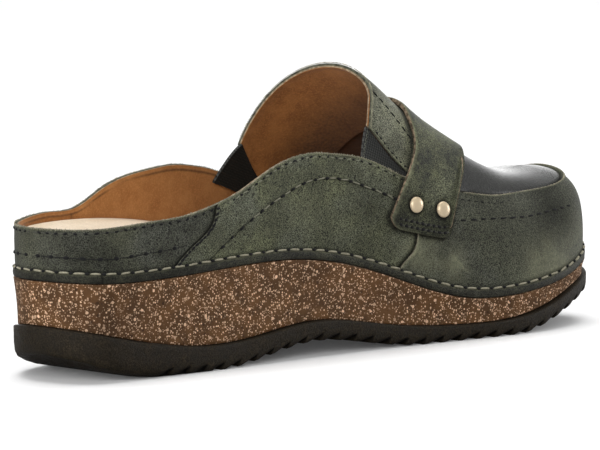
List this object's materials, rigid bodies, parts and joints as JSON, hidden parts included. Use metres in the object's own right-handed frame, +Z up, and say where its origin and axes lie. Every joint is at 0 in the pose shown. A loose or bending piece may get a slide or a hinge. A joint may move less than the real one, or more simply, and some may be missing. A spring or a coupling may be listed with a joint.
{
  "type": "clog",
  "caption": "Slip-on platform clog, left shoe: low-backed leather upper with riveted saddle strap, cork midsole and ribbed rubber outsole.",
  "frame": {"origin": "centre of the heel's flat tread spot, on the floor", "axes": "+X towards the toe, +Z up, -Y the inner (medial) side of this left shoe"},
  "size_m": [0.262, 0.0992, 0.107],
  "materials": {
    "outsole": "finely grained black-brown rubber",
    "cork_midsole": "warm brown cork with pale specks, matte",
    "rand": "dark olive leather wrap with a running stitch",
    "footbed": "cream suede-covered footbed",
    "upper": "oiled olive-grey nubuck, rubbed paler at edges",
    "tongue": "oiled olive-grey nubuck with tan lining",
    "gore_inner": "charcoal woven elastic",
    "gore_outer": "charcoal woven elastic",
    "strap": "oiled olive-grey nubuck, edge stitched",
    "rivets": "pale satin brass"
  },
  "bodies": {
    "root": {"outsole": "outsole", "cork_midsole": "cork_midsole", "rand": "rand", "footbed": "footbed", "upper": "upper", "tongue": "tongue", "gore_inner": "gore_inner", "gore_outer": "gore_outer", "strap": "strap", "rivet_inner_rear": "rivets", "rivet_inner_front": "rivets", "rivet_outer_rear": "rivets", "rivet_outer_front": "rivets"}
  },
  "joints": []
}
